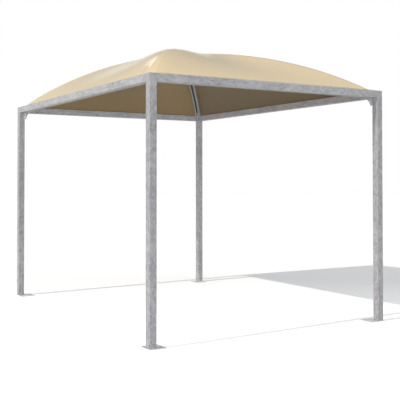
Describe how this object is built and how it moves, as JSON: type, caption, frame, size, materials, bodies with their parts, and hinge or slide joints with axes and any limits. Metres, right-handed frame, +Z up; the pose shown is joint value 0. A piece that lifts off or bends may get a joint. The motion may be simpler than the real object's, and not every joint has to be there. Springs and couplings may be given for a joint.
{
  "type": "gazebo",
  "caption": "Open gazebo with a galvanised square-tube frame on posts with foot plates and a beige membrane roof stretched over arched hip ribs.",
  "frame": {"origin": "on the ground at the middle of the plan, level with the undersides of the foot plates", "axes": "+Z up, X along the short sides, Y along the long sides, front at -Y"},
  "size_m": [3, 4, 3.2046],
  "materials": {
    "galvanised_steel": "satin",
    "membrane": "satin"
  },
  "bodies": {
    "root": {"foot_plate_front_left": "galvanised_steel", "post_front_left": "galvanised_steel", "post_cap_front_left": "galvanised_steel", "knee_plate_front_left": "galvanised_steel", "rib_front_left": "galvanised_steel", "ridge_strip_front_left": "membrane", "foot_plate_front_right": "galvanised_steel", "post_front_right": "galvanised_steel", "post_cap_front_right": "galvanised_steel", "knee_plate_front_right": "galvanised_steel", "rib_front_right": "galvanised_steel", "ridge_strip_front_right": "membrane", "foot_plate_back_left": "galvanised_steel", "post_back_left": "galvanised_steel", "post_cap_back_left": "galvanised_steel", "knee_plate_back_left": "galvanised_steel", "rib_back_left": "galvanised_steel", "ridge_strip_back_left": "membrane", "foot_plate_back_right": "galvanised_steel", "post_back_right": "galvanised_steel", "post_cap_back_right": "galvanised_steel", "knee_plate_back_right": "galvanised_steel", "rib_back_right": "galvanised_steel", "ridge_strip_back_right": "membrane", "beam_front": "galvanised_steel", "clamp_bar_front": "galvanised_steel", "canopy_front": "membrane", "beam_back": "galvanised_steel", "clamp_bar_back": "galvanised_steel", "canopy_back": "membrane", "beam_left": "galvanised_steel", "clamp_bar_left": "galvanised_steel", "canopy_left": "membrane", "beam_right": "galvanised_steel", "clamp_bar_right": "galvanised_steel", "canopy_right": "membrane", "crown_hub": "galvanised_steel", "crown_patch": "membrane"}
  },
  "joints": []
}
